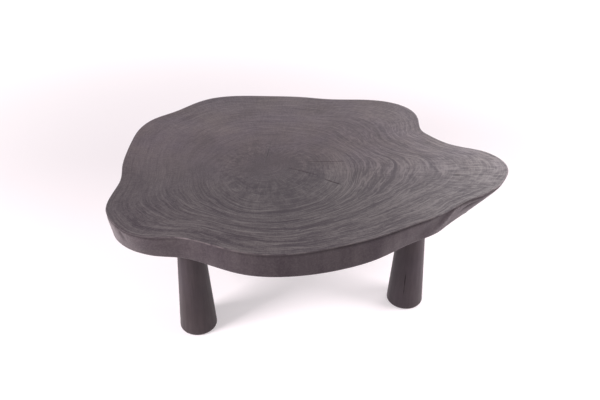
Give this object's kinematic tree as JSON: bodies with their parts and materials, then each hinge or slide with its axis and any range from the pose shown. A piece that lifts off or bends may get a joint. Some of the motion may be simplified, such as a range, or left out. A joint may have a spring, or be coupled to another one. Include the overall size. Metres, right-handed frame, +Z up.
{
  "type": "live edge coffee table",
  "caption": "Low coffee table with a thick free-form tree-slice top in dark stained wood, carried on tapered round legs that screw up into hidden steel plates.",
  "frame": {"origin": "on the floor under the middle of the top's box", "axes": "+X along the length of the top towards the tail, +Y away from the viewer of the picture, +Z up"},
  "size_m": [1.217, 0.9208, 0.4],
  "materials": {
    "stained_wood_top": "satin",
    "stained_wood_leg": "satin",
    "zinc_steel": "satin",
    "black_nylon": "matte",
    "grey_felt": "matte"
  },
  "bodies": {
    "root": {"slab_top": "stained_wood_top", "leg_front_left": "stained_wood_leg", "hanger_bolt_front_left": "zinc_steel", "threaded_bush_front_left": "zinc_steel", "mounting_plate_front_left": "zinc_steel", "plate_screws_front_left": "zinc_steel", "glide_cup_front_left": "black_nylon", "glide_felt_front_left": "grey_felt", "glide_screw_front_left": "zinc_steel", "leg_front_right": "stained_wood_leg", "hanger_bolt_front_right": "zinc_steel", "threaded_bush_front_right": "zinc_steel", "mounting_plate_front_right": "zinc_steel", "plate_screws_front_right": "zinc_steel", "glide_cup_front_right": "black_nylon", "glide_felt_front_right": "grey_felt", "glide_screw_front_right": "zinc_steel", "leg_rear": "stained_wood_leg", "hanger_bolt_rear": "zinc_steel", "threaded_bush_rear": "zinc_steel", "mounting_plate_rear": "zinc_steel", "plate_screws_rear": "zinc_steel", "glide_cup_rear": "black_nylon", "glide_felt_rear": "grey_felt", "glide_screw_rear": "zinc_steel"}
  },
  "joints": []
}
